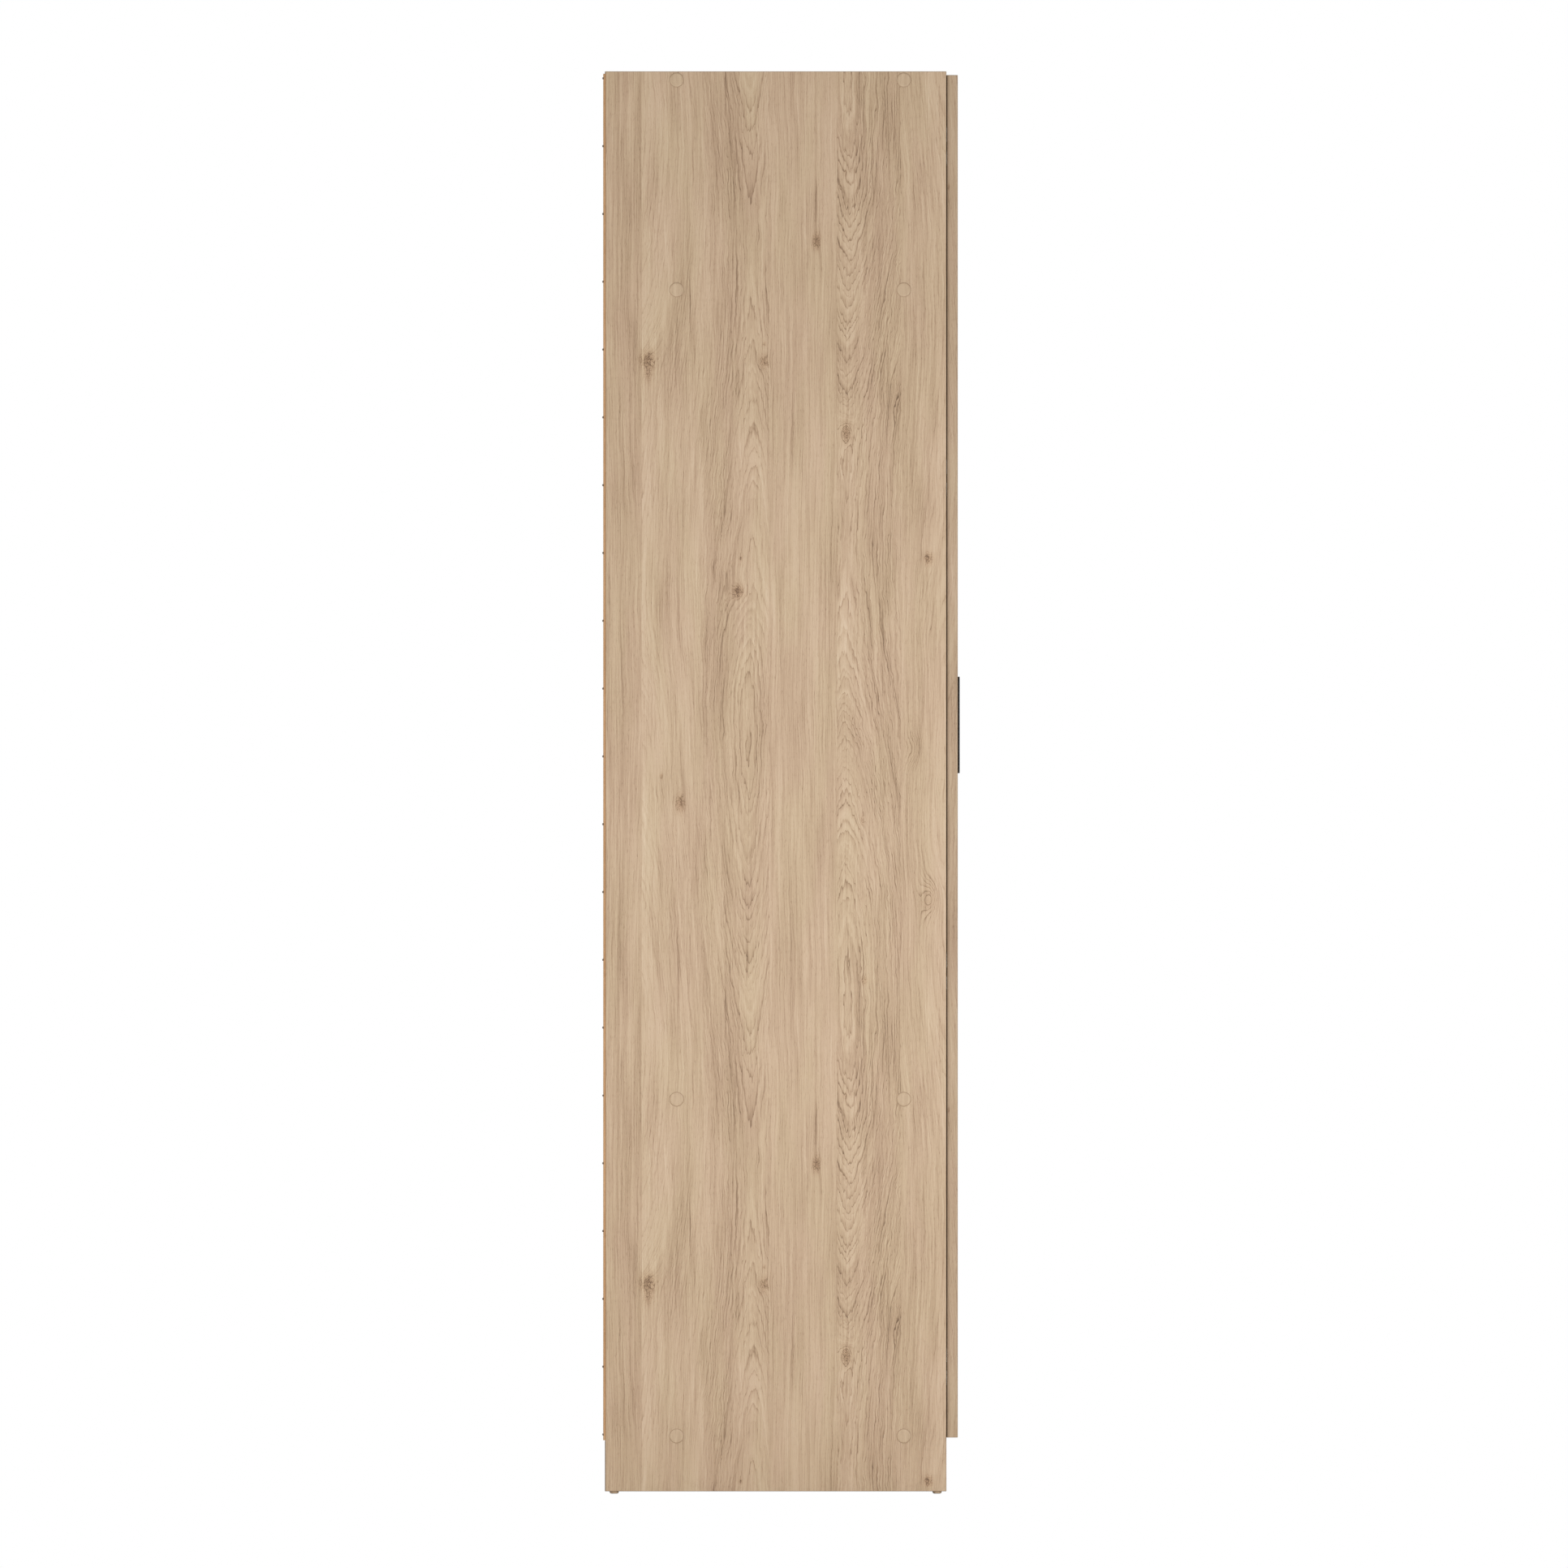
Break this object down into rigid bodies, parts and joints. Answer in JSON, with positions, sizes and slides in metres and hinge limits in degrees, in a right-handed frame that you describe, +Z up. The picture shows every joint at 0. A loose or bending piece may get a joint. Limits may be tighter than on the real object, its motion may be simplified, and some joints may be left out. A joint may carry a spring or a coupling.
{
  "type": "pantry cabinet",
  "caption": "Tall free-standing pantry cabinet with full-height hinged doors on concealed hinges, fixed and adjustable shelves, a plinth and a nailed hardboard back.",
  "frame": {"origin": "on the floor, under the middle of the bounding box", "axes": "+Z up, the doors face -Y, +X to the right of someone facing the doors"},
  "size_m": [0.7724, 0.503, 2.0032],
  "materials": {
    "oak_foil_board": "matt oak-pattern foil on particleboard",
    "hardboard": "raw thin hardboard, light foil on the inside",
    "paper_tape": "matt paper tape",
    "dark_steel": "dark nail heads",
    "brown_plastic": "matt brown plastic",
    "cap_plastic": "wood-coloured matt plastic",
    "zinc_steel": "zinc-plated",
    "nickel_steel": "satin nickel-plated",
    "black_metal": "matt black powder coat",
    "beech": "raw beech",
    "white_plastic": "matt off-white plastic",
    "clear_plastic": "soft translucent plastic"
  },
  "bodies": {
    "carcass": {"left_side_panel": "oak_foil_board", "right_side_panel": "oak_foil_board", "top_panel": "oak_foil_board", "upper_fixed_shelf": "oak_foil_board", "lower_fixed_shelf": "oak_foil_board", "bottom_panel": "oak_foil_board", "plinth_board": "oak_foil_board", "adjustable_shelf_upper": "oak_foil_board", "adjustable_shelf_middle": "oak_foil_board", "adjustable_shelf_lower": "oak_foil_board", "left_back_panel": "hardboard", "right_back_panel": "hardboard", "back_joint_tape": "paper_tape", "back_nails": "dark_steel", "nail_glides": "brown_plastic", "left_cover_caps": "cap_plastic", "right_cover_caps": "cap_plastic", "left_confirmat_screws": "zinc_steel", "right_confirmat_screws": "zinc_steel", "wooden_dowels": "beech", "shelf_pins": "nickel_steel", "plinth_blocks": "white_plastic", "plinth_screws": "zinc_steel", "wall_brackets": "nickel_steel", "wall_bracket_screws": "zinc_steel", "door_bumpers": "clear_plastic", "left_hinge_mounting_plates": "nickel_steel", "right_hinge_mounting_plates": "nickel_steel", "left_hinge_plate_screws": "zinc_steel", "right_hinge_plate_screws": "zinc_steel", "left_hinge_arms": "nickel_steel", "right_hinge_arms": "nickel_steel", "left_hinge_arm_screws": "zinc_steel", "right_hinge_arm_screws": "zinc_steel", "left_hinge_arm_pins": "zinc_steel", "right_hinge_arm_pins": "zinc_steel"},
    "left_front_links": {"left_hinge_front_links": "nickel_steel"},
    "left_rear_links": {"left_hinge_rear_links": "nickel_steel"},
    "left_door": {"left_door": "oak_foil_board", "left_pull": "black_metal", "left_pull_screws": "zinc_steel", "left_hinge_cups": "nickel_steel", "left_hinge_cup_pins": "zinc_steel", "left_hinge_cup_screws": "zinc_steel"},
    "right_front_links": {"right_hinge_front_links": "nickel_steel"},
    "right_rear_links": {"right_hinge_rear_links": "nickel_steel"},
    "right_door": {"right_door": "oak_foil_board", "right_pull": "black_metal", "right_pull_screws": "zinc_steel", "right_hinge_cups": "nickel_steel", "right_hinge_cup_pins": "zinc_steel", "right_hinge_cup_screws": "zinc_steel"}
  },
  "joints": [
    {"name": "left_front_link_turn", "type": "hinge", "parent": "carcass", "child": "left_front_links", "pos_m": [-0.3569, -0.23385, 1], "axis": [0, 0, 1], "range_deg": [0, 44.4]},
    {"name": "left_door_swing", "type": "hinge", "parent": "left_front_links", "child": "left_door", "pos_m": [-0.3739, -0.23785, 1], "axis": [0, 0, -1], "range_deg": [0, 144.3]},
    {"name": "left_rear_link_turn", "type": "hinge", "parent": "carcass", "child": "left_rear_links", "pos_m": [-0.3429, -0.22075, 1], "axis": [0, 0, 1], "range_deg": [0, 27.4]},
    {"name": "right_front_link_turn", "type": "hinge", "parent": "carcass", "child": "right_front_links", "pos_m": [0.3569, -0.23385, 1], "axis": [0, 0, -1], "range_deg": [0, 44.4]},
    {"name": "right_door_swing", "type": "hinge", "parent": "right_front_links", "child": "right_door", "pos_m": [0.3739, -0.23785, 1], "axis": [0, 0, 1], "range_deg": [0, 144.3]},
    {"name": "right_rear_link_turn", "type": "hinge", "parent": "carcass", "child": "right_rear_links", "pos_m": [0.3429, -0.22075, 1], "axis": [0, 0, -1], "range_deg": [0, 27.4]}
  ],
  "couplings": [
    {"joint": "left_front_link_turn", "follows": "left_door_swing", "ratio": 0.307},
    {"joint": "left_rear_link_turn", "follows": "left_door_swing", "ratio": 0.18905},
    {"joint": "right_front_link_turn", "follows": "right_door_swing", "ratio": 0.307},
    {"joint": "right_rear_link_turn", "follows": "right_door_swing", "ratio": 0.18905}
  ]
}
